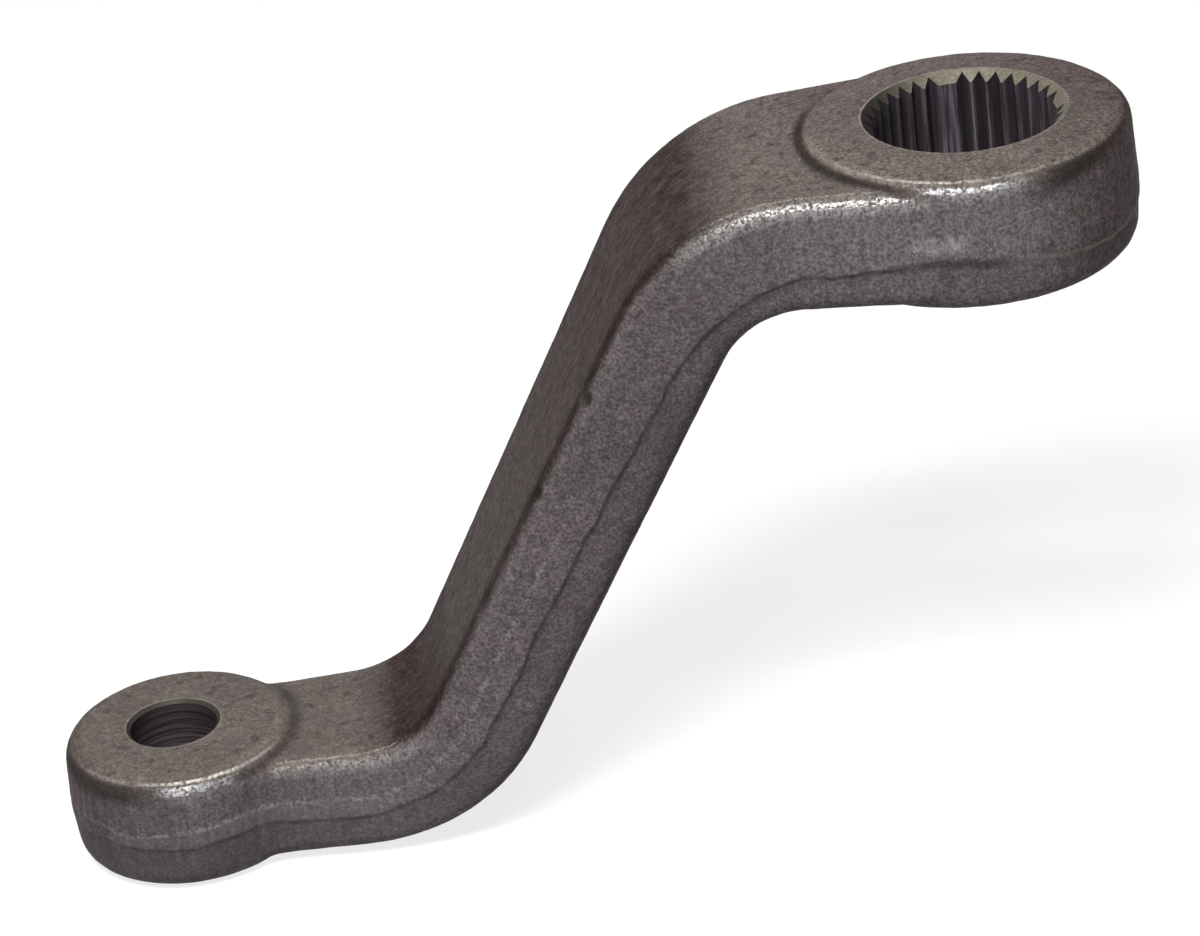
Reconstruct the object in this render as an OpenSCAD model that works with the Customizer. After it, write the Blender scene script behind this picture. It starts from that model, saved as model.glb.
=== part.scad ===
// Pitman arm: a drop-forged steering arm with an S-bent shank between two bored bosses.
// The origin is on the splined bore's axis, at the height of the big boss's parting line.
// +Z points up along that axis, and the shank runs down towards -X.

/* [Layout] */
// Distance between the two bore axes, seen along them
centre_distance = 139.7; // [132:0.1:152]
// Drop from the big boss's top face to the small boss's top face
drop = 93.9; // [84:0.1:104]

/* [Big boss] */
// Diameter at the parting line
big_d = 53.8; // [52:0.1:58]
// Height from face to face
big_h = 23.6; // [22.5:0.1:28]
// Fall of the forged top face from the bore's mouth to its outer edge
big_crown = 0.7; // [0.2:0.1:1.6]
// Round of the top face's outer edge
big_edge_r = 2.7; // [1:0.1:4]
// Depth of the parting line below the top face
big_parting = 14.3; // [12:0.1:16]

/* [Splined bore] */
// Positions round the bore, blind lands included
spline_positions = 36; // [32:4:40]
// Blind lands that time the arm on its shaft
blind_lands = 4; // [1, 2, 4]
// Diameter across the groove roots
spline_major_d = 31.8; // [31:0.1:32.4]
// Diameter across the land tips
spline_minor_d = 29.2; // [28.6:0.1:29.6]
// Angle between the flanks of a groove
groove_angle = 80; // [60:1:84]
// Turn of the first blind land from +X
spline_turn = 5; // [0:0.5:10]
// Chamfer outside the groove roots at both mouths
spline_chamfer = 0.45; // [0.2:0.05:1]

/* [Small boss] */
// Diameter at the parting line
small_d = 40.2; // [38:0.1:44]
// Height from face to face
small_h = 21.4; // [18:0.1:24]
// Distance of the forged boss's own axis from its hole's axis, towards the big boss
small_shift = 1; // [0:0.1:2]
// Round of the top face's outer edge
small_edge_r = 4; // [1:0.1:4]
// Depth of the parting line below the top face
small_parting = 12; // [9:0.1:13]
// Tapered hole's diameter at its narrow end
taper_d = 14.6; // [12:0.1:17]
// Length of hole for each millimetre that its diameter grows
taper_ratio = 8; // [6:0.1:16]
// Edge break round the hole's two mouths
taper_chamfer = 0.7; // [0.2:0.05:1]

/* [Shank] */
// Width at the parting line, where the shank meets the big boss's axis
shank_big_w = 54.2; // [51:0.1:56]
// Width at the parting line, half-way between the two axes
shank_mid_w = 38.2; // [36:0.1:42]
// Width at the parting line, where the shank meets the small boss's axis
shank_small_w = 28.8; // [24:0.1:31]
// Thickness half-way between the two axes
shank_mid_t = 18.9; // [17:0.1:20]
// Step from the big boss's top face down to the shank
big_step = 1.8; // [1:0.1:4]
// Step from the small boss's top face down to the shank
small_step = 2.2; // [0.8:0.1:3]
// Step from the shank down to the big boss's underside
big_under = 1; // [0.3:0.1:2]
// Step from the shank down to the small boss's underside
small_under = 0.4; // [0.3:0.1:2]
// Level run from the big boss's axis to the upper bend
big_run = 28; // [24:0.1:32]
// Level run from the lower bend to the small boss's axis
small_run = 30.6; // [26:0.1:34]
// Radius of the upper bend along the parting surface
upper_bend_r = 23.5; // [20:0.1:30]
// Radius of the lower bend along the parting surface
lower_bend_r = 26.5; // [20:0.1:30]
// Round where the shank's side runs into the small boss
waist_r = 8; // [4:0.5:12]

/* [Forging] */
// Draft of the walls above the parting line
upper_draft = 3; // [1:0.5:8]
// Draft of the walls below the parting line
lower_draft = 6; // [1:0.5:10]
// Round of the upper edges
upper_edge_r = 3; // [1:0.1:4]
// Round of the lower edges
lower_edge_r = 4; // [1:0.1:5]
// Height of the trimmed flash band on the parting line
flash_h = 2.4; // [1:0.1:3.5]
// Stand of the flash band off the walls
flash_stand = 0.3; // [0.1:0.05:0.6]

/* [Hidden] */
$fn = 96;
arc_steps = 6;
bend_steps = 14;
straight_steps = 5;
run_steps = 8;
// How far a cut runs past the face that it starts from
cut = 2;
// How far inside a boss's wall the shank's wall runs on, so that its flash band ends inside too
tuck = 1.5 * flash_stand;

// The bosses' top faces, the small boss's two axes, and the parting surface's height at its ends
big_z = big_parting;
small_z = big_z - drop;
small_x = -centre_distance;
boss_x = small_x + small_shift;
big_level = big_z - big_parting;
small_level = small_z - small_parting;

// Radius of the splined bore's mouths, across their chamfers
spline_mouth_r = spline_major_d / 2 + spline_chamfer;

// Tangent line between the two bends, on the parting surface
bend_sum = upper_bend_r + lower_bend_r;
bend_span = centre_distance - big_run - small_run;
bend_fall = big_level - small_level;
slope_l = sqrt(pow(bend_span, 2) + pow(bend_fall - bend_sum, 2) - pow(bend_sum, 2));
slope_a = atan2(bend_fall - bend_sum, bend_span) + atan2(bend_sum, slope_l);

// A station is [x, z, tilt] of the parting surface
function run_station(t) = [-big_run * t, big_level, 0];
function upper_station(t) = let (a = slope_a * t)
    [-big_run - upper_bend_r * sin(a), big_level - upper_bend_r * (1 - cos(a)), a];
function slope_station(t) = let (p = upper_station(1))
    [p[0] - slope_l * t * cos(slope_a), p[1] - slope_l * t * sin(slope_a), slope_a];
function lower_station(t) = let (a = slope_a * (1 - t))
    [small_x + small_run + lower_bend_r * sin(a), small_level + lower_bend_r * (1 - cos(a)), a];
function end_station(t) = [small_x + small_run * (1 - t), small_level, 0];

stations = concat(
    [for (i = [0:run_steps]) run_station(i / run_steps)],
    [for (i = [1:bend_steps]) upper_station(i / bend_steps)],
    [for (i = [1:straight_steps]) slope_station(i / straight_steps)],
    [for (i = [1:bend_steps]) lower_station(i / bend_steps)],
    [for (i = [1:run_steps]) end_station(i / run_steps)]);

// A parabola through three values, at the start, the middle and the end of the shank
function through(first, middle, last, u) =
    first * (1 - u) * (1 - 2 * u) + middle * 4 * u * (1 - u) + last * u * (2 * u - 1);

// Half width on the parting line: a parabola in plan through the three widths, rounded into the small boss
big_wall = big_d / 2 - tuck;
small_wall = small_d / 2 - tuck;
function taper_w(x) = through(shank_big_w, shank_mid_w, shank_small_w, x / small_x) / 2;
waist_y = taper_w(boss_x + small_d / 2) + waist_r;
waist_x = boss_x + sqrt(pow(small_wall + waist_r, 2) - pow(waist_y, 2));
// The waist's round ends where it touches the boss, and the shank runs on inside the boss at that width
waist_end = boss_x + (waist_x - boss_x) * small_wall / (small_wall + waist_r);
function waist_w(x) = waist_y - sqrt(pow(waist_r, 2) - pow(waist_x - max(x, waist_end), 2));
function half_w(x) = x > waist_x ? min(taper_w(x), big_wall) : waist_w(x);

// Thickness, and the part of it above the parting line
shank_big_t = big_h - big_step - big_under;
shank_small_t = small_h - small_step - small_under;
function shank_t(x) = through(shank_big_t, shank_mid_t, shank_small_t, x / small_x);
function shank_up(x) = let (big_up = big_parting - big_step, small_up = small_parting - small_step)
    big_up + (small_up - big_up) * x / small_x;

// One side of a drafted wall with a flash band and rounded edges, from the top down, as [out, up]
function wall(w, up, down, top_r, low_r) = let (
    top_c = [w - (up - top_r - flash_h / 2) * tan(upper_draft) - top_r / cos(upper_draft), up - top_r],
    low_c = [w - (down - low_r - flash_h / 2) * tan(lower_draft) - low_r / cos(lower_draft), low_r - down])
    concat(
        [for (i = [0:arc_steps]) let (a = 90 + (upper_draft - 90) * i / arc_steps)
            top_c + top_r * [cos(a), sin(a)]],
        [[w, flash_h / 2], [w + flash_stand, flash_h / 2 - flash_stand],
         [w + flash_stand, flash_stand - flash_h / 2], [w, -flash_h / 2]],
        [for (i = [0:arc_steps]) let (a = -lower_draft + (lower_draft - 90) * i / arc_steps)
            low_c + low_r * [cos(a), sin(a)]]);

// A closed section of the shank, square to the parting surface
function section(x) = let (
    up = shank_up(x),
    half = wall(half_w(x), up, shank_t(x) - up, upper_edge_r, lower_edge_r))
    concat(half, [for (i = [len(half) - 1:-1:0]) [-half[i][0], half[i][1]]]);

// The S-bent shank, lofted through drafted sections square to the parting surface
module shank() {
    rings = [for (s = stations) [for (p = section(s[0]))
        [s[0] - p[1] * sin(s[2]), p[0], s[1] + p[1] * cos(s[2])]]];
    n = len(rings[0]);
    last = len(rings) - 1;
    polyhedron(
        points = [for (ring = rings) each ring],
        faces = concat(
            [[for (j = [0:n - 1]) j]],
            [for (i = [0:last - 1]) for (j = [0:n - 1]) let (k = (j + 1) % n)
                [i * n + j, (i + 1) * n + j, (i + 1) * n + k, i * n + k]],
            [[for (j = [n - 1:-1:0]) last * n + j]]),
        convexity = 6);
}

// A forged boss, turned from the same drafted wall, with its top face at z = 0.
// The face falls by crown from the edge of its bore's mouth to its own edge.
module boss(d, h, parting, mouth_r, crown, edge_r) {
    translate([0, 0, -parting])
        rotate_extrude()
            polygon(concat([[0, parting], [mouth_r, parting]],
                wall(d / 2, parting - crown, h - parting, edge_r, lower_edge_r),
                [[0, parting - h]]));
}

// Outline of the splined bore: the land circle and a groove at each position that isn't blind
module spline_outline() {
    root = spline_major_d / 2;
    depth = 2 * (root - spline_minor_d / 2);
    circle(d = spline_minor_d);
    for (i = [0:spline_positions - 1])
        if (i % (spline_positions / blind_lands) != 0)
            rotate(spline_turn + i * 360 / spline_positions)
                polygon([[root, 0], [root - depth, depth * tan(groove_angle / 2)],
                    [root - depth, -depth * tan(groove_angle / 2)]]);
}

// The splined bore and the chamfers at its two mouths, with the boss's top face at z = 0
module splined_bore() {
    translate([0, 0, -big_h - cut])
        linear_extrude(big_h + 2 * cut)
            spline_outline();
    translate([0, 0, -spline_mouth_r])
        cylinder(h = spline_mouth_r + cut, r1 = 0, r2 = spline_mouth_r + cut);
    translate([0, 0, -big_h - cut])
        cylinder(h = spline_mouth_r + cut, r1 = spline_mouth_r + cut, r2 = 0);
}

// The stud's tapered hole, wide end down, with the boss's top face at z = 0
module tapered_hole() {
    narrow = taper_d / 2;
    wide = narrow + small_h / taper_ratio / 2;
    grow = cut / taper_ratio / 2;
    translate([0, 0, -small_h - cut])
        cylinder(h = small_h + 2 * cut, r1 = wide + grow, r2 = narrow - grow);
    translate([0, 0, -taper_chamfer])
        cylinder(h = taper_chamfer + cut, r1 = narrow, r2 = narrow + taper_chamfer + cut);
    translate([0, 0, -small_h - cut])
        cylinder(h = taper_chamfer + cut, r1 = wide + taper_chamfer + cut, r2 = wide);
}

module pitman_arm() {
    color("#6b6660")
        difference() {
            union() {
                translate([0, 0, big_z])
                    boss(big_d, big_h, big_parting, spline_mouth_r, big_crown, big_edge_r);
                translate([boss_x, 0, small_z])
                    boss(small_d, small_h, small_parting, taper_d / 2, 0, small_edge_r);
                shank();
            }
            translate([0, 0, big_z])
                splined_bore();
            translate([small_x, 0, small_z])
                tapered_hole();
        }
}

pitman_arm();
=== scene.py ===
# Pitman arm: the forging's fine surface, its material and a plain studio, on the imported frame.
# All sizes are in millimetres in the row frame, and MM turns them into Blender's metres.
import math
import bmesh
import bpy
import numpy as np
from mathutils import Matrix, Vector, noise
from mathutils.bvhtree import BVHTree


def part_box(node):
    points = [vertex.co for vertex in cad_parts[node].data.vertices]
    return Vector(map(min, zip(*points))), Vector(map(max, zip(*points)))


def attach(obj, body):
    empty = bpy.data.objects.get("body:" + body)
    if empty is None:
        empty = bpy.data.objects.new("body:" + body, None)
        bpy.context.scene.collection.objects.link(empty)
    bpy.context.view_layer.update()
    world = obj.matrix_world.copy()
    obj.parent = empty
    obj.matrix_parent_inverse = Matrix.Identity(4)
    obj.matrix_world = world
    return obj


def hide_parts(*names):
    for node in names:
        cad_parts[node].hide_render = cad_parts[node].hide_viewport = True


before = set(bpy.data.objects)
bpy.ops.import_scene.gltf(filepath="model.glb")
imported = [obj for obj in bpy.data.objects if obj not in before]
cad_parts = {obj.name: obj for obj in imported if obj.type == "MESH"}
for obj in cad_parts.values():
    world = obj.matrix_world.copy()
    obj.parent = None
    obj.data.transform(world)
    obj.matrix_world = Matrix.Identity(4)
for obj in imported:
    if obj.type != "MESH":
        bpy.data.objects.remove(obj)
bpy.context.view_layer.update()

MM = 0.001
NODE = "pitman_arm"

# Big boss and its splined bore
BIG_TOP = 14.3
BIG_LOW = -9.3
BIG_R = 26.9
BIG_STEP = 1.8
SPLINE_COUNT = 36
BLIND_EVERY = 9
SPLINE_TURN = 5.0
ROOT_R = 15.9
LAND_R = 14.6
GROOVE_HALF = 40.0
SPLINE_MOUTH_R = 16.35

# Small boss and its tapered hole
SMALL_TOP = -79.6
SMALL_LOW = -101.0
SMALL_X = -139.7
SMALL_BOSS_X = -138.7
SMALL_R = 20.1
SMALL_STEP = 2.2
HOLE_TOP_R = 7.3
HOLE_LOW_R = 8.64
HOLE_BREAK = 0.7
# Parts the big end's points from the small end's
MIDDLE_X = -70

# Parting surface of the S-bent shank
SMALL_LEVEL = SMALL_TOP - 12.0
BIG_RUN = 28.0
SMALL_RUN = 30.6
UPPER_BEND_R = 23.5
LOWER_BEND_R = 26.5
# How far the parting line runs on past both bosses
PAST_BOSS = 2.0

# The new surface: its fineness, the reach of the coves, and how far the plugs and cutters overlap
VOXEL = 0.6
COVE_REACH = 2.2
COVE_INSET = 0.8
PLUG_OVER = 0.3
CUT_OVER = 2.0
MOUTH_DEEP = 6.0

# Grain of the forge scale: wavelength, seed and depth
COARSE = (16.0, 1, 0.05)
MIDDLING = (3.6, 2, 0.035)
FINE = (1.3, 3, 0.022)

# Height of the die seam and of the trimmed flash's upper line over the parting surface, as pairs of
# the length along that surface from the big boss's end, and the height there
SEAM = [(0, -1.8), (9, -2.7), (14, -2.0), (22, -0.8), (27, 0), (33, 0.7), (38, 0.5), (47, -0.7),
        (58, -0.85), (64, -1.8), (70, -2.4), (77, -2.1), (86, -0.75), (95, -0.1), (110, 0.35), (150, 0.6),
        (170, 0.2), (186, -0.8), (237, -0.6)]
FLASH = [(110, 4.6), (150, 4.8), (170, 3.8), (186, 2.6), (205, 3.0), (225, 1.6), (229, 2.4), (233, 2.7)]
TRIM_END = 226
# Kinks of the seam: how far they stray, how many, how far apart and the seed
KINK = 0.45
KINK_COUNT = 70
KINK_APART = (2.0, 6.5)
KINK_SEED = 4
# How light the walls are along the arm, as pairs of that length and a factor
TONE = [(0, 1.0), (100, 1.0), (125, 1.16), (155, 1.14), (185, 1.1), (202, 0.96), (237, 0.9)]
# The flash band that stands out of the CAD walls, and the ledge left along the seam
BAND_HALF = 1.2
BAND_STAND = 0.3
LEDGE = 0.12
LEDGE_REACH = 4.0

# Stretches of that length over which a mark comes in or goes out
KINKS_START = (22, 45)
SEAM_DARKENS = (20, 26)
SEAM_NARROWS = (40, 48)
SEAM_WEAKENS = (150, 175)
SLOPE_PALES = (85, 130)
BELOW_DARKENS = (100, 215)
FLASH_STARTS = (112, 132)
BAND_STARTS = (165, 190)
GRIT_WEAKENS = (150, 190)
LOWER_BEND = (165, 185)

# Burnt scale and painted shade: the slope's lean, the middles and reaches of the bends, and the arm's ends
# in x
TILTED = (0.25, 0.75)
UPPER_BEND_X = -50
UPPER_BEND_REACH = 16
INNER_BEND = (-99, -76)
INNER_BEND_REACH = 13
BIG_END = (4, 24)
SMALL_END = (-148, -157)

# How far under its top a boss still counts as its top, and the distance given to points off both tops
TOP_ZONE = 3.0
FAR = 10.0
# Where each boss's top face meets its round edge, and where that edge is rubbed most and carries its
# painted highlight
BIG_RIM_R = 24.9
SMALL_RIM_R = 18.3
BIG_EDGE_R = 26.15
SMALL_EDGE_R = 19.2
# Painted shade in the step down to the shank, between two pairs of radii, and the painted highlight of the
# brim inside it with its reach
BIG_STEP_RISE = (25.5, 26.0)
BIG_STEP_FALL = (26.8, 27.5)
SMALL_STEP_RISE = (18.5, 19.2)
SMALL_STEP_FALL = (19.8, 20.6)
BIG_BRIM = (25.1, 0.9)
SMALL_BRIM = (17.3, 1.3)
# Painted shade on the rounds at the arm's two ends
BIG_SHADE_R = (24.9, 25.6)
BIG_SHADE_Z = (8, 10.5)
BIG_SHADE_LEAN = 0.25
BIG_SHADE_X = 12
SMALL_SHADE_R = (18.4, 19.0)

# Marks of the forge that the photo shows: place, reach and depth
NICKS = [((-64.6, -19.2, -19.2), 1.6, 0.8), ((-74.1, -17.8, -35.4), 1.1, 0.5)]
# Rubbed patch on the big boss's front: middle and half sizes in x and z
RUB = (-7.6, 3.3)
RUB_HALF = (4.6, 1.2)
RUB_FRONT_Y = -20
# Worn part of the big boss's front, lightened further as a painted sheen: middle and reach in x, and over
# the parting surface
WORN_X = (-8, 40)
WORN_HEIGHT = (5.5, 9)
# Painted glints on the front edges, coming in and going out in x, and their strength
GLINTS = [((-30, -5), (2, 12), 1.0), ((-145, -138), (-132, -126), 0.6)]

# Colours of the forged skin
COOL = (0.131, 0.115, 0.120, 1)
COOL_PATCH = (0.134, 0.112, 0.125, 1)
WARM = (0.168, 0.139, 0.122, 1)
WARM_PATCH = (0.155, 0.132, 0.120, 1)
PIT = (0.05, 0.04, 0.036, 1)
# Burnt brown, which also serves as painted shade
BROWN = (0.032, 0.019, 0.013, 1)
BROWN_PATCH = (0.060, 0.033, 0.038, 1)
END_TINT = (1.0, 0.92, 0.87, 1)
# Painted shade on the top faces towards the big boss's back and right
BACK_SHADE_TINT = (0.94, 0.85, 0.92, 1)
BELOW_SEAM = (0.07, 0.058, 0.062, 1)
# Painted shade in the hollows
HOLLOW_SHADE = (0.042, 0.034, 0.033, 1)
SEAM_LIGHT = (0.21, 0.19, 0.165, 1)
SEAM_DARK = (0.034, 0.026, 0.025, 1)
FLASH_BAND = (0.21, 0.185, 0.185, 1)
FLASH_LINE = (0.29, 0.26, 0.255, 1)
RUB_TINT = (1.95, 2.0, 1.92, 1)
# Worn steel, also serving as a painted sheen
WORN_AND_SHEEN = (0.21, 0.205, 0.195, 1)
# Painted shade along the slope's crest
CREST_SHADE = (0.014, 0.011, 0.010, 1)
NICK = (0.014, 0.011, 0.011, 1)
# Painted shade in the bosses' steps
STEP_SHADE = (0.026, 0.019, 0.017, 1)
# Painted highlight on the brims inside the steps
BRIM_HIGHLIGHT = (1.34, 1.3, 1.26, 1)
# Painted shade on the end rounds
SHADE = (0.022, 0.017, 0.015, 1)
# Bare metal, also serving as painted highlight on rubbed edges
BARE_AND_HIGHLIGHT = (0.42, 0.42, 0.42, 1)
# Painted glints
GLINT = (0.85, 0.85, 0.85, 1)
# Painted highlight along the shank's front top edge
BROW_HIGHLIGHT = (0.38, 0.325, 0.27, 1)
# Painted highlight along the bosses' rims
RIM_HIGHLIGHT = (0.72, 0.68, 0.61, 1)
# Painted highlight round the holes' mouths
LIP_HIGHLIGHT = (0.36, 0.33, 0.28, 1)

# Colours of the cut walls, dark and light, and of the painted shade in the tapered hole
BROACHED = ((0.032, 0.027, 0.033, 1), (0.16, 0.144, 0.163, 1))
REAMED = ((0.032, 0.027, 0.032, 1), (0.38, 0.33, 0.36, 1))
TURNED = ((0.15, 0.135, 0.102, 1), (0.25, 0.228, 0.175, 1))
HOLE_SHADE = (0.03, 0.026, 0.024, 1)

# Studio: the floor, the room's light at the horizon, overhead and what is left of it on the right
FLOOR_HALF = 4000
FLOOR_GREY = (0.36, 0.36, 0.36, 1)
FLOOR_GLOW = 0.78
WHITE = (1, 1, 1, 1)
ROOM_LOW = 0.06
ROOM_HIGH = 0.24
ROOM_RIGHT = 0.35
# Area lamps: name, place, width, height and power, all turned to one point
LAMP_TARGET = (-65, 0, -45)
LAMPS = [("key", (-206, -526, 733), 320, 220, 6.8), ("strip", (-65, -420, 660), 500, 50, 1.6),
         ("front", (-200, -950, 90), 700, 500, 1.6), ("back", (-150, 950, 40), 700, 300, 1.0)]

# The photo's camera
LENS = 150
SENSOR = 36
CAMERA_PLACE = (-52.74, -723.94, 332.50)
CAMERA_RIGHT = (0.993165, -0.041162, -0.109199)
CAMERA_AHEAD = (-0.013645, 0.888355, -0.458960)


# Mesh helpers

def add_object(name, data):
    ob = bpy.data.objects.new(name, data)
    bpy.context.scene.collection.objects.link(ob)
    return ob


def new_object(name, verts, faces):
    mesh = bpy.data.meshes.new(name)
    mesh.from_pydata([Vector(v) * MM for v in verts], [], faces)
    mesh.validate()
    return add_object(name, mesh)


def apply_modifiers(ob):
    depsgraph = bpy.context.evaluated_depsgraph_get()
    mesh = bpy.data.meshes.new_from_object(ob.evaluated_get(depsgraph))
    ob.modifiers.clear()
    ob.data = mesh


def boolean(ob, other, operation):
    """Joins other to ob, or cuts it out, and removes other."""
    mod = ob.modifiers.new("boolean", "BOOLEAN")
    mod.operation = operation
    mod.solver = "MANIFOLD"
    mod.object = other
    apply_modifiers(ob)
    bpy.data.objects.remove(other)


def stacked(name, rings):
    """A closed solid through rings of equal length, from the lowest up."""
    n = len(rings[0])
    faces = [tuple(range(n - 1, -1, -1))]
    for i in range(len(rings) - 1):
        for k in range(n):
            m = (k + 1) % n
            faces.append((i * n + k, i * n + m, (i + 1) * n + m, (i + 1) * n + k))
    last = (len(rings) - 1) * n
    faces.append(tuple(range(last, last + n)))
    return new_object(name, [p for ring in rings for p in ring], faces)


def turned(name, profile, x, segments):
    """A closed solid of revolution about a vertical axis at x, from (radius, height) pairs going up."""
    angles = [2 * math.pi * k / segments for k in range(segments)]
    rings = [[(x + r * math.cos(a), r * math.sin(a), z) for a in angles] for r, z in profile]
    return stacked(name, rings)


def coords(mesh):
    flat = np.empty(len(mesh.vertices) * 3)
    mesh.vertices.foreach_get("co", flat)
    return flat.reshape(-1, 3) / MM


def set_coords(mesh, co):
    mesh.vertices.foreach_set("co", (co * MM).ravel())
    mesh.update()


def normals(mesh):
    flat = np.empty(len(mesh.vertices) * 3)
    mesh.vertex_normals.foreach_get("vector", flat)
    return flat.reshape(-1, 3)


class Ring:
    """Averages over each vertex's neighbours."""

    def __init__(self, mesh):
        flat = np.empty(len(mesh.edges) * 2, dtype=np.int32)
        mesh.edges.foreach_get("vertices", flat)
        self.a, self.b = flat.reshape(-1, 2).T
        self.n = len(mesh.vertices)
        self.count = np.maximum(np.bincount(flat, minlength=self.n), 1)

    def mean(self, values):
        if values.ndim > 1:
            return np.stack([self.mean(column) for column in values.T], axis=1)
        total = np.bincount(self.a, values[self.b], self.n) + np.bincount(self.b, values[self.a], self.n)
        return total / self.count

    def smooth(self, values, steps, weight=0.5):
        for _ in range(steps):
            values = values + weight * (self.mean(values) - values)
        return values


def hump(d, width):
    """1 at d = 0, falling smoothly to 0 at width on both sides."""
    t = np.clip(np.abs(d) / width, 0, 1)
    return (1 - t * t) ** 2


def ramp(v, none, full):
    """0 at none, 1 at full, a smooth step between and flat beyond."""
    t = np.clip((v - none) / (full - none), 0, 1)
    return t * t * (3 - 2 * t)


def grain(co, size, seed):
    """Fractal noise of that wavelength, about -1 to 1."""
    shift = Vector((seed * 17.3, seed * 5.1, seed * 9.7))
    octaves = 2
    return np.array([noise.fractal(Vector(p) / size + shift, 1.0, 2.0, octaves) for p in co])


def boss_radii(co):
    """Each point's distance from the axes of the big and the small boss."""
    return np.hypot(co[:, 0], co[:, 1]), np.hypot(co[:, 0] - SMALL_BOSS_X, co[:, 1])


# Parting surface

def parting_line():
    """Points (x, z), upward normals and lengths along the parting surface, from the big boss on."""
    total = UPPER_BEND_R + LOWER_BEND_R
    span = -SMALL_X - BIG_RUN - SMALL_RUN
    fall = -SMALL_LEVEL
    slope_l = math.sqrt(span ** 2 + (fall - total) ** 2 - total ** 2)
    slope_a = math.atan2(fall - total, span) + math.atan2(total, slope_l)
    steps = np.linspace(0, 1, 80)
    start_x = BIG_R + PAST_BOSS
    points = [(start_x - t * (BIG_RUN + start_x), 0.0, 0.0) for t in steps]
    for a in slope_a * steps[1:]:
        points.append((-BIG_RUN - UPPER_BEND_R * math.sin(a), -UPPER_BEND_R * (1 - math.cos(a)), a))
    x0, z0, _ = points[-1]
    for d in slope_l * steps[1:]:
        points.append((x0 - d * math.cos(slope_a), z0 - d * math.sin(slope_a), slope_a))
    bend_x = SMALL_X + SMALL_RUN
    for a in slope_a * (1 - steps[1:]):
        bend_z = SMALL_LEVEL + LOWER_BEND_R * (1 - math.cos(a))
        points.append((bend_x + LOWER_BEND_R * math.sin(a), bend_z, a))
    end_x = SMALL_BOSS_X - SMALL_R - PAST_BOSS
    for t in steps[1:]:
        points.append((bend_x + t * (end_x - bend_x), SMALL_LEVEL, 0.0))
    points = np.array(points)
    line = points[:, :2]
    up = np.stack([-np.sin(points[:, 2]), np.cos(points[:, 2])], axis=1)
    along = np.concatenate([[0], np.cumsum(np.linalg.norm(np.diff(line, axis=0), axis=1))])
    return line, up, along


def place_on_parting(co):
    """Each point's height over the parting surface, its length along it, and the local up."""
    line, up, along = parting_line()
    near = np.concatenate([((part[:, None, :] - line[None]) ** 2).sum(2).argmin(1)
                           for part in np.array_split(co[:, [0, 2]], 20)])
    offset = co[:, [0, 2]] - line[near]
    height = (offset * up[near]).sum(1)
    onward = (offset * np.stack([-up[near, 1], up[near, 0]], axis=1)).sum(1)
    local_up = np.stack([up[near, 0], np.zeros(len(co)), up[near, 1]], axis=1)
    return height, along[near] + onward, local_up


def over_seam(height, along):
    """Each point's height over the die seam, which runs in small kinks."""
    rng = np.random.default_rng(KINK_SEED)
    knots = np.cumsum(rng.uniform(*KINK_APART, KINK_COUNT))
    kinks = np.interp(along, knots, rng.uniform(-KINK, KINK, KINK_COUNT)) * ramp(along, *KINKS_START)
    return height - np.interp(along, *zip(*SEAM)) - kinks


# The arm's fine surface

def filled_copy():
    """A welded copy of the CAD node with both holes filled flush."""
    bm = bmesh.new()
    bm.from_mesh(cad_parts[NODE].data)
    bmesh.ops.remove_doubles(bm, verts=bm.verts, dist=1e-6)
    mesh = bpy.data.meshes.new("forging")
    bm.to_mesh(mesh)
    bm.free()
    ob = add_object("forging", mesh)
    big_r = SPLINE_MOUTH_R + PLUG_OVER
    boolean(ob, turned("plug", [(big_r, BIG_LOW), (big_r, BIG_TOP - 0.02)], 0, 96), "UNION")
    low_r = HOLE_LOW_R + HOLE_BREAK + PLUG_OVER
    top_r = HOLE_TOP_R + HOLE_BREAK + PLUG_OVER
    boolean(ob, turned("plug", [(low_r, SMALL_LOW), (top_r, SMALL_TOP)], SMALL_X, 64), "UNION")
    return ob


def remesh(ob):
    """Even fine quads, pulled back on to the exact surface."""
    tree = BVHTree.FromObject(ob, bpy.context.evaluated_depsgraph_get())
    mod = ob.modifiers.new("remesh", "REMESH")
    mod.mode = "VOXEL"
    mod.voxel_size = VOXEL * MM
    apply_modifiers(ob)
    near = [tree.find_nearest(Vector(p) * MM)[0] for p in coords(ob.data)]
    set_coords(ob.data, np.array(near) / MM)


def soften(ob):
    """Coves at the feet of the raised bosses, and edges eased as a forging die leaves them."""
    mesh = ob.data
    ring = Ring(mesh)
    co = coords(mesh)
    big_r, small_r = boss_radii(co)
    big_foot = np.hypot(big_r - BIG_R + COVE_INSET, co[:, 2] - (BIG_TOP - BIG_STEP))
    small_foot = np.hypot(small_r - SMALL_R + COVE_INSET, co[:, 2] - (SMALL_TOP - SMALL_STEP))
    big_cove = hump(big_foot, COVE_REACH) * (co[:, 0] < 0)
    small_cove = hump(small_foot, COVE_REACH) * (co[:, 0] > SMALL_BOSS_X)
    weight = 0.5 * np.maximum(big_cove, small_cove)
    co = ring.smooth(co, 6, weight[:, None])
    set_coords(mesh, ring.smooth(co, 1, 0.3))


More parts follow.
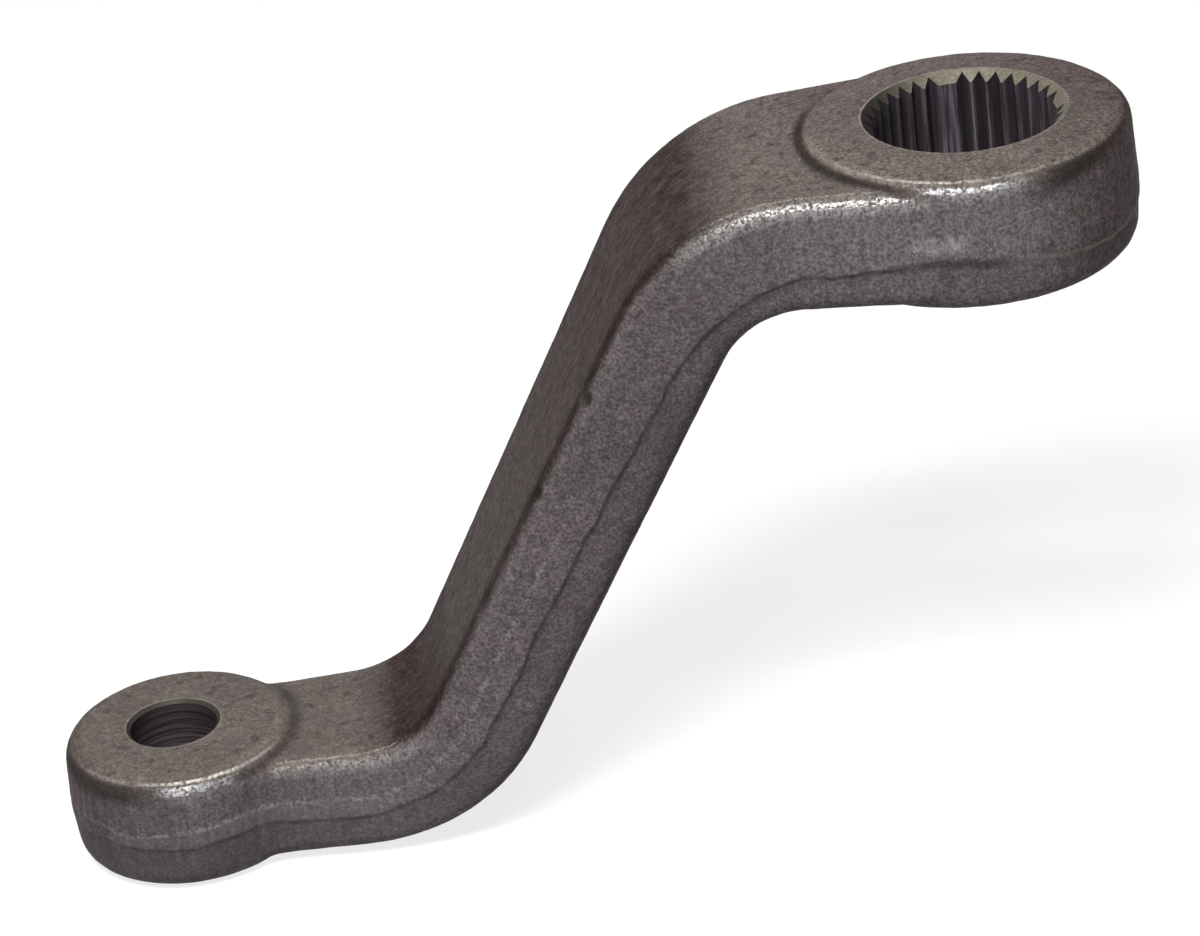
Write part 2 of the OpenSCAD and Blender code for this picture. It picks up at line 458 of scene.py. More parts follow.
def roughen(ob, low, high):
    """Trims the flash, and cuts a seam ledge, forge scale and two nicks inwards from the CAD surface."""
    mesh = ob.data
    ring = Ring(mesh)
    co = coords(mesh)
    normal = normals(mesh)
    height, along, up = place_on_parting(co)
    side = 1 - ramp(np.abs((normal * up).sum(1)), 0.5, 0.8)
    seam = over_seam(height, along)
    trim = BAND_STAND * ramp(np.abs(height), BAND_HALF + 0.45, BAND_HALF - 0.65)
    trim += LEDGE * ramp(seam, 0.3, -0.3) * hump(seam, LEDGE_REACH)
    bend = ((co - ring.mean(co)) * normal).sum(1)
    convex = ring.smooth(np.clip(bend * 12, 0, 1), 3)
    depth = trim * side
    for (size, seed, deep), on_edges in ((COARSE, 0), (MIDDLING, 1.2), (FINE, 0)):
        depth += deep * (1 - grain(co, size, seed)) * (1 + on_edges * convex)
    for place, reach, deep in NICKS:
        depth += deep * hump(np.linalg.norm(co - np.array(place), axis=1), reach)
    set_coords(mesh, np.clip(co - normal * depth[:, None], low, high))


def spline_rings():
    """The splined bore's outline at two heights: V grooves with narrow lands, and the blind lands."""
    spread = math.tan(math.radians(GROOVE_HALF))
    a = 1 + spread ** 2
    s = (ROOT_R - math.sqrt(ROOT_R ** 2 - a * (ROOT_R ** 2 - LAND_R ** 2))) / a
    half = math.atan2(s * spread, ROOT_R - s)
    pitch = 2 * math.pi / SPLINE_COUNT
    outline = []
    for i in range(SPLINE_COUNT):
        middle = math.radians(SPLINE_TURN) + i * pitch
        blind = i % BLIND_EVERY == 0
        for turn, r in ((-half, LAND_R), (0, LAND_R if blind else ROOT_R), (half, LAND_R)):
            outline.append((r * math.cos(middle + turn), r * math.sin(middle + turn)))
    return [[(x, y, z) for x, y in outline] for z in (BIG_LOW - CUT_OVER, BIG_TOP + CUT_OVER)]


def cut_holes(ob):
    """The splined bore with its mouth chamfers, and the tapered hole with its edge breaks."""
    boolean(ob, stacked("splines", spline_rings()), "DIFFERENCE")
    wide = SPLINE_MOUTH_R + CUT_OVER
    narrow = wide - MOUTH_DEEP - CUT_OVER
    top_mouth = [(narrow, BIG_TOP - MOUTH_DEEP), (wide, BIG_TOP + CUT_OVER)]
    low_mouth = [(wide, BIG_LOW - CUT_OVER), (narrow, BIG_LOW + MOUTH_DEEP)]
    for profile in (top_mouth, low_mouth):
        boolean(ob, turned("mouth", profile, 0, 144), "DIFFERENCE")
    wall = [(HOLE_LOW_R + HOLE_BREAK + CUT_OVER, SMALL_LOW - CUT_OVER),
            (HOLE_LOW_R, SMALL_LOW + HOLE_BREAK),
            (HOLE_TOP_R, SMALL_TOP - HOLE_BREAK),
            (HOLE_TOP_R + HOLE_BREAK + CUT_OVER, SMALL_TOP + CUT_OVER)]
    boolean(ob, turned("hole", wall, SMALL_X, 96), "DIFFERENCE")


# Marks on the surface, written for the materials

class Points:
    """Where a mesh's vertices lie on the arm, and which way they face."""

    def __init__(self, mesh):
        self.ring = Ring(mesh)
        self.co = coords(mesh)
        self.x, self.y, self.z = self.co.T
        self.normal = normals(mesh)
        self.big_r, self.small_r = boss_radii(self.co)
        self.height, self.along, up = place_on_parting(self.co)
        self.rise = self.ring.smooth((self.normal * up).sum(1), 2)
        self.tilt = ramp(-up[:, 0], *TILTED)


def shape_marks(p):
    """Where the vertices lie, where the surface is convex, and the painted shade in its hollows."""
    bend = ((p.co - p.ring.smooth(p.co, 10)) * p.normal).sum(1) / 0.1
    # Painted shade in concave places, weaker at the small end and at the back
    hollow_shade = p.ring.smooth(np.clip(-bend, 0, 1), 2)
    hollow_shade *= 1 - 0.45 * ramp(p.x, -100, -110)
    hollow_shade *= 1 - 0.6 * ramp(p.y, 6, 14)
    return {"along": p.along, "height": p.height, "rise": p.rise, "tilt": p.tilt, "hollow_shade": hollow_shade,
            "convex": p.ring.smooth(np.clip(bend, 0, 1), 1)}


def burnt_and_shade_marks(p):
    """Burnt brown scale with painted shade on the slope, painted shade in its bends, underneath and at both
    ends, and the walls' lightness.
    """
    # Painted shade on the bends, the underside and the ends that face away from the lamps; burnt brown and
    # painted shade on the slope's top
    upper_bend = hump(p.x - UPPER_BEND_X, UPPER_BEND_REACH)
    inner_bend = hump(np.hypot(p.x - INNER_BEND[0], p.z - INNER_BEND[1]), INNER_BEND_REACH)
    slope = p.tilt * (0.96 - 0.2 * ramp(p.along, *SLOPE_PALES))
    top = np.clip(slope + 0.6 * upper_bend + 1.1 * inner_bend, 0, 1) * ramp(p.rise, 0.55, 0.9)
    slope_sides = 0.2 * p.tilt
    underside = 0.85 * ramp(p.rise, -0.3, -0.85)
    big_end = ramp(p.x, *BIG_END) * (0.2 + 0.3 * ramp(p.normal[:, 0], 0.1, 0.6))
    small_end = 0.3 * ramp(p.x, *SMALL_END) * ramp(p.normal[:, 0], -0.1, -0.6)
    burnt_and_shade = np.max([top, slope_sides, underside, big_end, small_end], axis=0)
    return {"burnt_and_shade": p.ring.smooth(burnt_and_shade, 3), "tone": np.interp(p.along, *zip(*TONE))}


def forge_marks(p):
    """The seam, the trimmed flash, painted shade along the slope's crest, the nicks and the big boss's
    rubbed front with its painted sheen.
    """
    # Painted shade along the slope's crest
    crest_shade = p.ring.smooth(hump(p.rise - 0.88, 0.12) * p.tilt * ramp(p.height, 5, 7), 24)
    nicks = [hump(np.linalg.norm(p.co - np.array(place), axis=1), 1.2 * reach) for place, reach, _ in NICKS]
    rub = ramp(np.abs(p.x - RUB[0]), RUB_HALF[0] + 1, RUB_HALF[0] - 2)
    rub *= ramp(np.abs(p.z - RUB[1]), RUB_HALF[1] + 0.5, RUB_HALF[1] - 0.5)
    worn_and_sheen = hump(p.x - WORN_X[0], WORN_X[1]) * hump(p.height - WORN_HEIGHT[0], WORN_HEIGHT[1])
    return {"seam": over_seam(p.height, p.along), "flash": p.height - np.interp(p.along, *zip(*FLASH)),
            "trimmed": ramp(p.along, *FLASH_STARTS),
            "crest_shade": np.clip(2.7 * crest_shade, 0, 1) * ramp(p.rise, 0.5, 0.85),
            "nick": np.max(nicks, axis=0), "rub": rub * (p.y < RUB_FRONT_Y), "worn_and_sheen": worn_and_sheen * (p.y < 0)}


def rim_marks(p):
    """Distances from the nearer boss's rim and rubbed edge, and how much each faces forward and is lit."""
    on_big = (p.z > BIG_TOP - TOP_ZONE) & (p.big_r < BIG_R + 1)
    on_small = (p.z > SMALL_TOP - TOP_ZONE) & (p.small_r < SMALL_R + 1)
    rim = np.where(on_big, p.big_r - BIG_RIM_R, np.where(on_small, p.small_r - SMALL_RIM_R, FAR))
    edge = np.where(on_big, p.big_r - BIG_EDGE_R, np.where(on_small, p.small_r - SMALL_EDGE_R, FAR))
    forward = ramp(-p.y / np.where(on_big, p.big_r, np.maximum(p.small_r, 1)), 0.3, 0.75)
    big_lit = (0.3 + 0.7 * ramp(p.x, -20, -8)) * (1 - 0.9 * ramp(p.x, -8, 12))
    small_lit = 0.3 + 0.7 * ramp(p.x - SMALL_BOSS_X, -6, 2)
    return {"rim": rim, "edge": edge, "forward": forward,
            "lit": forward * np.where(on_big, big_lit, small_lit)}


def step_marks(p):
    """Painted shade where the bosses step down to the shank, a painted highlight on the brim inside each
    step, and painted shade on the end rounds.
    """
    small_x = p.x - SMALL_BOSS_X
    on_big = ramp(p.x, -7, -14) * (p.z > BIG_TOP - TOP_ZONE) * (p.big_r < BIG_R + 2)
    on_small = ramp(small_x, 7, 12) * (p.z > SMALL_TOP - TOP_ZONE) * (p.small_r < SMALL_R + 2)
    # Painted shade in the steps down to the shank
    big_step_shade = ramp(p.big_r, *BIG_STEP_RISE) * (1 - ramp(p.big_r, *BIG_STEP_FALL)) * ramp(p.y, 14, 6)
    small_step_shade = ramp(p.small_r, *SMALL_STEP_RISE) * (1 - ramp(p.small_r, *SMALL_STEP_FALL))
    small_step_shade *= 0.3 + 0.3 * ramp(p.y, 0, -12)
    # Painted highlight on the brims inside the steps
    big_brim = hump(p.big_r - BIG_BRIM[0], BIG_BRIM[1])
    small_brim = hump(p.small_r - SMALL_BRIM[0], SMALL_BRIM[1])
    brim_highlight = (on_big * big_brim + on_small * small_brim) * ramp(p.y, 6, -4)
    right = ramp(p.x, 4, 14) * ramp(p.big_r, *BIG_SHADE_R)
    right *= ramp(p.z - BIG_SHADE_LEAN * (p.x - BIG_SHADE_X), *BIG_SHADE_Z)
    left = ramp(small_x, 1, -10) * ramp(p.small_r, *SMALL_SHADE_R)
    left *= ramp(p.z, SMALL_TOP - 6, SMALL_TOP - 3)
    return {"step_shade": on_big * big_step_shade + on_small * small_step_shade, "brim_highlight": brim_highlight,
            "shade": (right + 0.9 * left) * ramp(p.y, 10, 2)}


def hole_marks(p):
    """Distances from the mouths of both holes, depth in the grooves, and painted shade on the walls."""
    at_big = p.x > MIDDLE_X
    hole_r = np.hypot(p.x - SMALL_X, p.y)
    mouth = np.where(at_big, p.big_r - SPLINE_MOUTH_R, hole_r - HOLE_TOP_R - HOLE_BREAK)
    # Painted shade in the tapered hole, strongest near its top, and on the big bore's left side
    hole_shade = np.where(p.z > SMALL_TOP - TOP_ZONE, 0.9, 0.1 + 0.35 * ramp(p.y, 4, -3))
    return {"mouth": mouth + FAR * (p.normal[:, 2] < 0.5),
            "depth": (p.big_r - LAND_R) / (ROOT_R - LAND_R),
            "shade_in_holes": np.where(at_big, ramp(p.x, -4, -14), hole_shade)}


def mark_up(mesh):
    """Writes what the materials need to know about each vertex."""
    p = Points(mesh)
    for marks in (shape_marks, burnt_and_shade_marks, forge_marks, rim_marks, step_marks, hole_marks):
        for name, values in marks(p).items():
            layer = mesh.attributes.new(name, "FLOAT", "POINT")
            layer.data.foreach_set("value", np.ascontiguousarray(values, dtype=np.float32))


def sort_faces(mesh):
    """Gives the bore's wall slot 1, the hole's wall slot 2 and the chamfers of both slot 3."""
    count = len(mesh.polygons)
    centre = np.empty(count * 3)
    mesh.polygons.foreach_get("center", centre)
    centre = centre.reshape(-1, 3) / MM
    facing = np.empty(count * 3)
    mesh.polygons.foreach_get("normal", facing)
    facing = np.abs(facing.reshape(-1, 3)[:, 2])
    close = 0.02
    big = np.hypot(centre[:, 0], centre[:, 1]) < SPLINE_MOUTH_R + close
    small = np.hypot(centre[:, 0] - SMALL_X, centre[:, 1]) < HOLE_LOW_R + HOLE_BREAK + close
    wall = facing < 0.3
    mouth = (big | small) & ~wall & (facing < 0.95)
    slot = big * wall + 2 * small * wall + 3 * mouth
    mesh.polygons.foreach_set("material_index", slot.astype(np.int32))
    mesh.polygons.foreach_set("use_smooth", np.ones(count, dtype=bool))
    mesh.set_sharp_from_angle(angle=math.radians(32))
    mesh.update()


# Materials

class Nodes:
    """Short calls for the node tree of a material or a world."""

    def __init__(self, owner, out="ShaderNodeOutputMaterial"):
        self.owner = owner
        owner.use_nodes = True
        self.tree = owner.node_tree
        self.tree.nodes.clear()
        self.out = self.add(out)
        self.marks = {}

    def add(self, kind, links=None, **values):
        node = self.tree.nodes.new(kind)
        for key, value in values.items():
            setattr(node, key, value)
        for socket, value in (links or {}).items():
            self.put(node, socket, value)
        return node

    def put(self, node, socket, value):
        if isinstance(value, bpy.types.NodeSocket):
            self.tree.links.new(value, node.inputs[socket])
        else:
            node.inputs[socket].default_value = value

    def show(self, shader):
        self.put(self.out, "Surface", shader.outputs[0])

    def math(self, operation, a, b=0.0):
        return self.add("ShaderNodeMath", {0: a, 1: b}, operation=operation).outputs[0]

    def times(self, *factors):
        """The product of several values."""
        product = factors[0]
        for factor in factors[1:]:
            product = self.math("MULTIPLY", product, factor)
        return product

    def scale(self, value, low, high, to_low=0.0, to_high=1.0):
        """Draws low to high on to to_low to to_high, and stays flat beyond."""
        links = {0: value, 1: low, 2: high, 3: to_low, 4: to_high}
        return self.add("ShaderNodeMapRange", links).outputs[0]

    def vary(self, grit, low, high):
        """Draws most of a noise's spread on to low to high."""
        return self.scale(grit, 0.3, 0.7, low, high)

    def line(self, distance, half, soft):
        """1 within half of zero, fading out over soft."""
        return self.scale(self.math("ABSOLUTE", distance), half + soft, half)

    def blend(self, factor, a, b, kind="MIX"):
        node = self.add("ShaderNodeMix", {0: factor, 6: a, 7: b}, data_type="RGBA", blend_type=kind)
        return node.outputs[2]

    def tint(self, factor, colour, by):
        """Colour, multiplied by another colour or value where factor is 1."""
        return self.blend(factor, colour, by, "MULTIPLY")

    def split(self, vector):
        return self.add("ShaderNodeSeparateXYZ", {0: vector}).outputs

    def place(self):
        return self.add("ShaderNodeTexCoord").outputs["Object"]

    def drawn(self, place, stretch):
        return self.add("ShaderNodeMapping", {"Vector": place, "Scale": stretch}).outputs[0]

    def noise(self, point, size, detail=3.0, rough=0.55):
        """Noise whose grains are about size millimetres wide."""
        links = {"Vector": point, "Scale": 1 / (size * MM), "Detail": detail, "Roughness": rough}
        return self.add("ShaderNodeTexNoise", links).outputs["Fac"]

    def mark(self, name):
        """One of the values that mark_up wrote."""
        if name not in self.marks:
            self.marks[name] = self.add("ShaderNodeAttribute", attribute_name=name).outputs["Fac"]
        return self.marks[name]

    def steel(self, colour, metal, rough, shine, relief):
        """The finished steel; relief is a height, its strength and its depth in millimetres."""
        height, strength, deep = relief
        bump = self.add("ShaderNodeBump", {"Height": height, "Strength": strength, "Distance": deep * MM})
        links = {"Base Color": colour, "Metallic": metal, "Roughness": rough, "Specular IOR Level": shine,
                 "Normal": bump.outputs[0]}
        self.show(self.add("ShaderNodeBsdfPrincipled", links))
        return self.owner


class ForgedSkin(Nodes):
    """The forged skin's tree, with the values that several of its layers share."""

    def __init__(self):
        super().__init__(bpy.data.materials.new("forged_steel"))
        place = self.place()
        x, y, _ = self.split(place)
        self.x = self.times(x, 1 / MM)
        self.y = self.times(y, 1 / MM)
        self.upward = self.split(self.add("ShaderNodeNewGeometry").outputs["Normal"])[2]
        self.wall = self.scale(self.math("ABSOLUTE", self.mark("rise")), 0.8, 0.35)
        self.flat = self.scale(self.mark("tilt"), 0.5, 0.1)
        self.above = self.scale(self.mark("height"), 1.4, 3.0, 0.12, 1.0)
        self.before_end = self.scale(self.mark("along"), TRIM_END + 1, TRIM_END)
        self.blotch = self.noise(place, 12.0, 4.0)
        self.patch = self.noise(place, 4.0)
        self.fleck = self.noise(place, 1.5, 3.0, 0.6)
        self.speck = self.noise(place, 0.5, 2.0, 0.5)
        self.pits = self.scale(self.noise(place, 2.4, 2.0, 0.4), 0.6, 0.7)
        self.upright = self.vary(self.noise(self.drawn(place, (1.0, 1.0, 0.1)), 0.8, 2.0), 0.82, 1.18)
        self.wander = self.scale(self.noise(place, 9.0, 5.0, 0.6), 0.25, 0.75, -0.5, 0.5)
        self.stray = self.scale(self.noise(place, 2.5, 3.0, 0.6), 0.25, 0.75, -0.25, 0.25)

    def by_length(self, stretch, first=0.0, last=1.0):
        """A value that goes from first to last over a stretch of the length along the arm."""
        return self.scale(self.mark("along"), *stretch, first, last)


def plain_scale(n):
    """Cool scale on the walls and warm on faces that look up, in patches and with dark pits."""
    cloud = n.scale(n.patch, 0.35, 0.65)
    cool = n.blend(cloud, COOL, COOL_PATCH)
    warm = n.blend(cloud, WARM, WARM_PATCH)
    colour = n.blend(n.scale(n.upward, 0.05, 0.75), cool, warm)
    colour = n.tint(1.0, colour, n.vary(n.blotch, 0.88, 1.10))
    return n.blend(n.times(n.pits, n.scale(n.upward, 0.3, 0.8, 0.15, 0.5)), colour, PIT)


def burnt_scale_and_shade(n, colour):
    """Burnt brown scale and painted shade, in streaks drawn out along the slope."""
    links = {0: n.times(n.mark("along"), 0.38 * MM), 1: n.times(n.y, MM)}
    slope = n.add("ShaderNodeCombineXYZ", links).outputs[0]
    # Burnt brown and painted shade
    burnt_and_shade = n.times(n.mark("burnt_and_shade"), n.vary(n.noise(slope, 0.9), 0.74, 1.16), 0.97)
    brown = n.blend(n.scale(n.noise(slope, 3.5), 0.35, 0.65), BROWN, BROWN_PATCH)
    colour = n.blend(burnt_and_shade, colour, brown)
    return n.tint(burnt_and_shade, colour, n.vary(n.noise(slope, 0.55, 3.0, 0.65), 0.5, 1.5))


def grit_and_tone(n, colour):
    """Fine grit, then the changes of tone along the walls, at the ends and under the seam, and painted
    shade at the back and in the hollows.
    """
    gritty = n.by_length(GRIT_WEAKENS, 1.0, 0.75)
    colour = n.tint(gritty, colour, n.vary(n.fleck, 0.82, 1.19))
    colour = n.tint(gritty, colour, n.scale(n.speck, 0.38, 0.75, 0.68, 1.6))
    colour = n.tint(n.wall, colour, n.mark("tone"))
    ends = n.math("ADD", n.scale(n.x, 6, 22), n.scale(n.x, -146, -157))
    colour = n.tint(n.times(ends, n.wall), colour, END_TINT)
    # Painted shade: top faces towards the back and right darker and pinker
    back = n.times(n.scale(n.y, -12, 12), n.scale(n.x, -45, -10), n.scale(n.upward, 0.5, 0.9))
    colour = n.tint(back, colour, BACK_SHADE_TINT)
    colour = n.tint(n.times(n.wall, n.flat), colour, n.upright)
    below = n.times(n.scale(n.mark("seam"), 0.1, -0.3), n.wall, n.by_length(BELOW_DARKENS, 0.13, 0.4))
    colour = n.blend(below, colour, BELOW_SEAM)
    # Painted shade in the hollows
    return n.blend(n.times(n.mark("hollow_shade"), 0.8), colour, HOLLOW_SHADE)


def die_seam(n, colour):
    """The seam's line, light on the big boss's end and dark after it, and the paler band over it."""
    wide = n.times(n.by_length(SEAM_DARKENS), n.by_length(SEAM_NARROWS, 1.0, 0.0))
    off = n.math("ADD", n.math("ADD", n.mark("seam"), n.stray), n.times(wide, 0.55))
    seam = n.line(n.times(off, n.scale(wide, 0.0, 1.0, 1.0, 0.4)), 0.1, 0.42)
    seam = n.times(seam, n.wall, n.scale(n.patch, 0.3, 0.5, 0.35, 0.9))
    seam = n.times(seam, n.scale(n.before_end, 0.0, 1.0, 0.3, 1.0), n.by_length(SEAM_WEAKENS, 0.85, 0.6))
    colour = n.blend(seam, colour, n.blend(n.by_length(SEAM_DARKENS), SEAM_LIGHT, SEAM_DARK))
    band = n.times(n.scale(n.mark("seam"), 0.0, 0.4), n.scale(n.mark("flash"), 0.2, -0.2))
    band = n.times(band, n.before_end, n.wall, n.by_length(BAND_STARTS), 0.18)
    return n.blend(band, colour, FLASH_BAND)


def worn_and_sheen_front(n, colour):
    """The rubbed patch, and the worn part on the big boss's front with a painted sheen over it."""
    rub = n.times(n.mark("rub"), n.upright, n.scale(n.fleck, 0.3, 0.6, 0.3, 0.9))
    colour = n.tint(rub, colour, RUB_TINT)
    # Wear with a painted sheen
    worn_and_sheen = n.times(n.mark("worn_and_sheen"), n.scale(n.speck, 0.35, 0.65, 0.2, 1.0), 0.35)
    return n.blend(worn_and_sheen, colour, WORN_AND_SHEEN)


def flash_line(n, colour):
    """The upper line of the trimmed flash, broken into specks."""
    flash = n.line(n.math("ADD", n.mark("flash"), n.wander), 0.15, 0.45)
    flash = n.times(flash, n.mark("trimmed"), n.wall, n.scale(n.fleck, 0.35, 0.6, 0.1, 0.85))
    flash = n.times(flash, n.scale(n.before_end, 0.0, 1.0, 0.5, 1.0))
    flash = n.times(flash, n.scale(n.speck, 0.38, 0.62, 0.1, 1.0))
    return n.blend(flash, colour, FLASH_LINE)


def dark_marks(n, colour):
    """Painted shade along the slope's crest, the nicks, painted shade in the bosses' steps with painted
    highlights on their brims, and painted shade on the end rounds.
    """
    # Painted shade along the slope's crest
    crest_shade = n.times(n.mark("crest_shade"), n.scale(n.patch, 0.3, 0.6, 0.6, 1.0), 0.92)
    colour = n.blend(crest_shade, colour, CREST_SHADE)
    colour = n.blend(n.times(n.mark("nick"), 0.9), colour, NICK)
    # Painted shade in the bosses' steps
    colour = n.blend(n.times(n.mark("step_shade"), n.vary(n.fleck, 0.85, 0.65)), colour, STEP_SHADE)
    # Painted highlight on the brims
    colour = n.tint(n.mark("brim_highlight"), colour, BRIM_HIGHLIGHT)
    # Painted shade on the end rounds
    return n.blend(n.times(n.mark("shade"), 0.85), colour, SHADE)


def rubbed_and_highlit_edges(n):
    """How far the convex edges and the bosses' front edges are rubbed bare and painted as highlights, and
    the latter alone.
    """
    undimmed = n.times(n.scale(n.mark("shade"), 0.4, 0.0), n.scale(n.mark("step_shade"), 0.3, 0.0))
    lower = n.math("ADD", n.mark("rise"), n.by_length(LOWER_BEND, 0.0, 0.12))
    convex = n.times(n.scale(n.mark("convex"), 0.25, 0.8), n.scale(n.speck, 0.3, 0.6), n.above, undimmed)
    convex = n.times(convex, n.by_length(LOWER_BEND, 1.0, 0.55), n.scale(lower, 0.76, 0.92, 1.0, 0.15))
    convex = n.times(convex, n.scale(n.x, 12, 4), n.scale(n.mark("tilt"), 0.87, 0.45))
    convex = n.times(convex, n.scale(n.mark("rim"), 0.6, 1.0))
    edge = n.times(n.line(n.mark("edge"), 0.3, 0.25), n.mark("forward"), n.scale(n.speck, 0.3, 0.55))
    edge = n.times(edge, undimmed, n.scale(n.x, 0, 10, 1.0, 0.1))
    return n.math("MAXIMUM", convex, edge), edge


def bare_metal_and_highlights(n, colour, rubbed_and_highlight, edge):
    """Bare metal with painted highlights on the rubbed edges, and two painted glints on the bosses' front.
    """
    # Bare metal and painted highlight on the rubbed edges
    colour = n.blend(n.times(rubbed_and_highlight, 0.45), colour, BARE_AND_HIGHLIGHT)
    sparkle = n.times(edge, n.scale(n.speck, 0.4, 0.62, 0.3, 1.0))
    # Painted glints on the bosses' front edges
    for coming, (full, gone), strength in GLINTS:
        glint = n.times(sparkle, n.scale(n.x, *coming), n.scale(n.x, gone, full), strength)
        colour = n.blend(glint, colour, GLINT)
    return colour


def brow_highlight_line(n, colour):
    """The painted highlight along the front edge of the shank's top."""
    brow = n.math("SUBTRACT", n.mark("rise"), n.by_length(LOWER_BEND, 0.952, 0.87))
    brow = n.line(n.times(brow, n.by_length(LOWER_BEND, 1.0, 0.5)), 0.01, 0.016)
    brow = n.times(brow, n.scale(n.speck, 0.35, 0.6), n.above, n.flat, n.scale(n.mark("rim"), 5.0, 9.0))
    return n.blend(n.times(brow, n.scale(n.y, 0, -4), 0.8), colour, BROW_HIGHLIGHT)


def lip_highlight_line(n, colour):
    """The painted highlight round the mouths of both holes, stronger towards the back."""
    lip = n.line(n.math("SUBTRACT", n.mark("mouth"), 0.1), 0.08, 0.18)
    lip = n.times(lip, n.scale(n.fleck, 0.3, 0.5, 0.4, 1.0), n.scale(n.y, -4, 6, 0.35, 0.9))
    return n.blend(n.times(lip, n.scale(n.x, -100, -50, 0.6, 1.0), 0.8), colour, LIP_HIGHLIGHT)


def forged_steel():
    """Thin dark scale on forged steel, in layers: scale with painted shade, die lines, dark marks with
    painted shade, and edges rubbed bright with painted highlights.
    """
    n = ForgedSkin()
    colour = plain_scale(n)
    for layer in (burnt_scale_and_shade, grit_and_tone, die_seam, worn_and_sheen_front, flash_line, dark_marks):
        colour = layer(n, colour)
    rubbed_and_highlight, edge = rubbed_and_highlit_edges(n)
    colour = bare_metal_and_highlights(n, colour, rubbed_and_highlight, edge)
    colour = brow_highlight_line(n, colour)
    # Painted highlight along the bosses' rims, stronger where they face the lamps
    rim = n.times(n.line(n.mark("rim"), 0.1, 0.2), n.mark("lit"), n.scale(n.fleck, 0.3, 0.5))
    rim = n.times(rim, n.scale(n.speck, 0.3, 0.6, 0.3, 1.0))
    colour = n.blend(n.times(rim, 0.9), colour, RIM_HIGHLIGHT)
    colour = lip_highlight_line(n, colour)
    metal = n.times(n.math("MAXIMUM", rubbed_and_highlight, rim), 0.85)
    rough = n.math("SUBTRACT", n.vary(n.fleck, 0.64, 0.52), n.times(rubbed_and_highlight, 0.22))
    lumps = n.math("ADD", n.math("ADD", n.fleck, n.times(n.speck, 0.5)), n.patch)
    lumps = n.math("SUBTRACT", lumps, n.times(n.pits, 0.3))
    return n.steel(colour, metal, rough, 0.05, (lumps, 0.4, 0.4))


def cut_steel(name, stretch, colours, shade_in_holes, metal, groove=None):
    """A cut wall whose tool marks are drawn out along the axes where stretch is small.

    Where groove is given, the wall darkens as painted shade down to that share of the grooves' depth.
    """
    n = Nodes(bpy.data.materials.new(name))
    marks = n.noise(n.drawn(n.place(), stretch), 0.5, 3.0, 0.6)
    light = n.scale(marks, 0.35, 0.65)
    if groove:
        light = n.times(light, n.scale(n.mark("depth"), 0.0, groove, 1.0, 0.15))
    # Painted shade on the cut walls and chamfers where the mark is high
    colour = n.blend(n.times(n.mark("shade_in_holes"), 0.88), n.blend(light, *colours), shade_in_holes)
    return n.steel(colour, metal, 0.42, 0.06, (marks, 0.2, 0.2))


def arm_materials():
    """In the order of the slots that sort_faces gives out."""
    return [forged_steel(),
            cut_steel("broached_steel", (1.0, 1.0, 0.04), BROACHED, BROACHED[0], 0.2, 0.4),
            cut_steel("reamed_steel", (0.03, 0.03, 1.3), REAMED, HOLE_SHADE, 0.5),
            cut_steel("turned_steel", (1.0, 1.0, 1.0), TURNED, HOLE_SHADE, 0.1)]


def make_arm():
    low, high = [np.array(corner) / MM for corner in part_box(NODE)]
    ob = filled_copy()
    remesh(ob)
    soften(ob)
    roughen(ob, low, high)
    cut_holes(ob)
    ob.name = "forged_arm"
    ob.data.name = "forged_arm"
    ob.data.materials.clear()
    for material in arm_materials():
        ob.data.materials.append(material)
    mark_up(ob.data)
    sort_faces(ob.data)
    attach(ob, "root")
    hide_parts(NODE)


# Studio

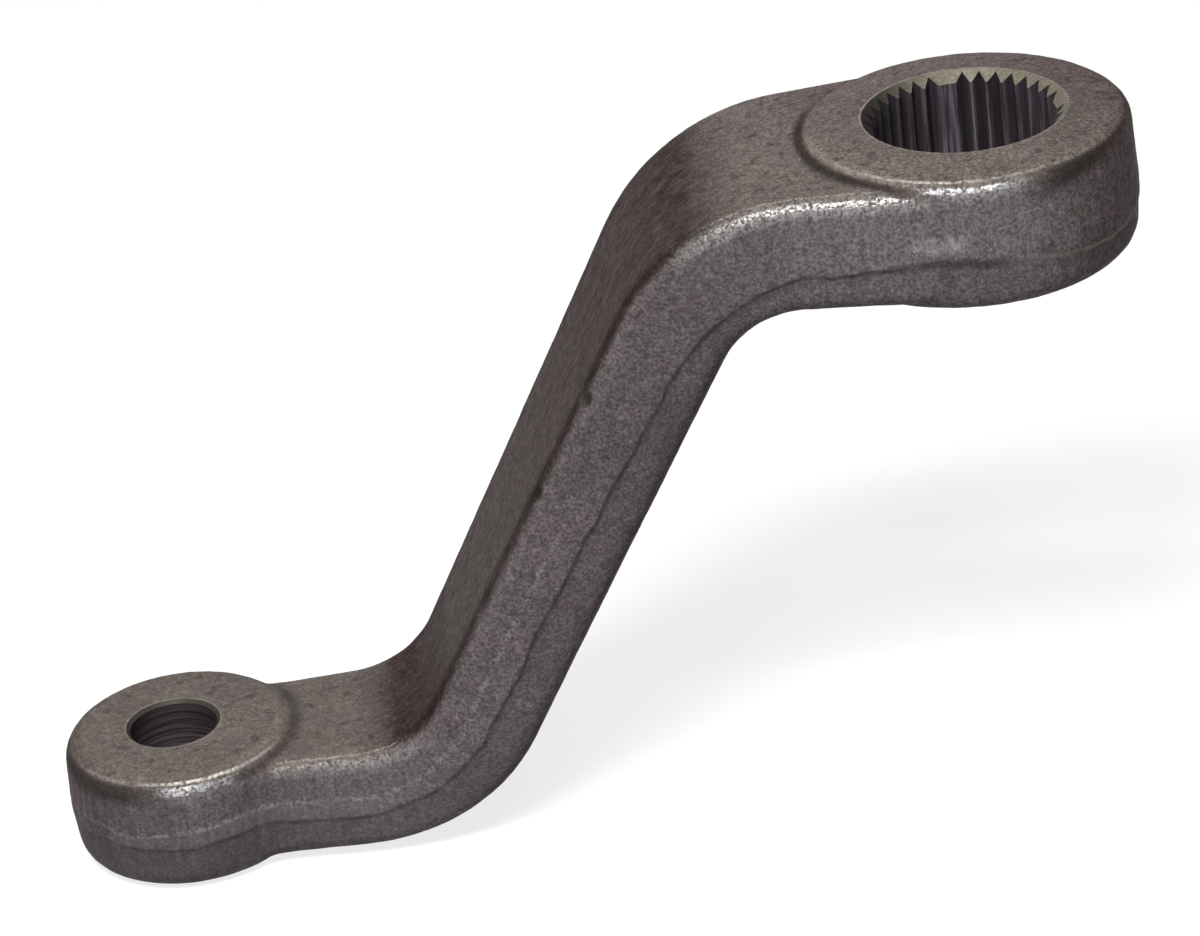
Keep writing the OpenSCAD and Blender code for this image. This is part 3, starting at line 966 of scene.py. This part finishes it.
def pale_floor():
    """A white floor that fills the view and keeps the arm's soft shadow."""
    corners = [(-1, -1), (1, -1), (1, 1), (-1, 1)]
    verts = [(x * FLOOR_HALF, y * FLOOR_HALF, SMALL_LOW - 0.1) for x, y in corners]
    ob = new_object("floor", verts, [(0, 1, 2, 3)])
    n = Nodes(bpy.data.materials.new("pale_floor"))
    path = n.add("ShaderNodeLightPath").outputs
    shown = n.math("MAXIMUM", path["Is Camera Ray"], path["Is Glossy Ray"])
    shown = n.math("MAXIMUM", shown, path["Is Transmission Ray"])
    lit = n.add("ShaderNodeBsdfDiffuse", {"Color": FLOOR_GREY})
    glow = n.add("ShaderNodeEmission", {"Color": WHITE, "Strength": n.times(shown, FLOOR_GLOW)})
    n.show(n.add("ShaderNodeAddShader", {0: lit.outputs[0], 1: glow.outputs[0]}))
    ob.data.materials.append(n.owner)


def room_light():
    """White light from all round, stronger overhead and weaker on the right."""
    n = Nodes(bpy.data.worlds.new("studio"), "ShaderNodeOutputWorld")
    x, _, z = n.split(n.add("ShaderNodeTexCoord").outputs["Generated"])
    links = {0: z, 1: 0.02, 2: 0.5, 3: ROOM_LOW, 4: ROOM_HIGH}
    level = n.add("ShaderNodeMapRange", links, interpolation_type="SMOOTHSTEP").outputs[0]
    strength = n.times(level, n.scale(x, -0.2, 0.7, 1.0, ROOM_RIGHT))
    n.show(n.add("ShaderNodeBackground", {"Color": WHITE, "Strength": strength}))
    bpy.context.scene.world = n.owner


def area_lamp(name, place, width, height, power):
    data = bpy.data.lights.new(name, "AREA")
    data.shape = "RECTANGLE"
    data.size = width * MM
    data.size_y = height * MM
    data.energy = power
    ob = add_object(name, data)
    ob.location = Vector(place) * MM
    ob.rotation_euler = (Vector(LAMP_TARGET) - Vector(place)).to_track_quat("-Z", "Y").to_euler()


def studio():
    bpy.context.scene.view_settings.view_transform = "Standard"
    room_light()
    for lamp in LAMPS:
        area_lamp(*lamp)


def photo_camera():
    """The photo's view: a long lens, 27 degrees down and rolled by 7."""
    data = bpy.data.cameras.new("camera")
    data.sensor_width = SENSOR
    data.lens = LENS
    ob = add_object("camera", data)
    right = Vector(CAMERA_RIGHT)
    ahead = Vector(CAMERA_AHEAD)
    up = right.cross(ahead).normalized()
    turn = Matrix((right, up, -ahead)).transposed()
    ob.matrix_world = Matrix.Translation(Vector(CAMERA_PLACE) * MM) @ turn.to_4x4()
    bpy.context.scene.camera = ob


make_arm()
pale_floor()
studio()
photo_camera()
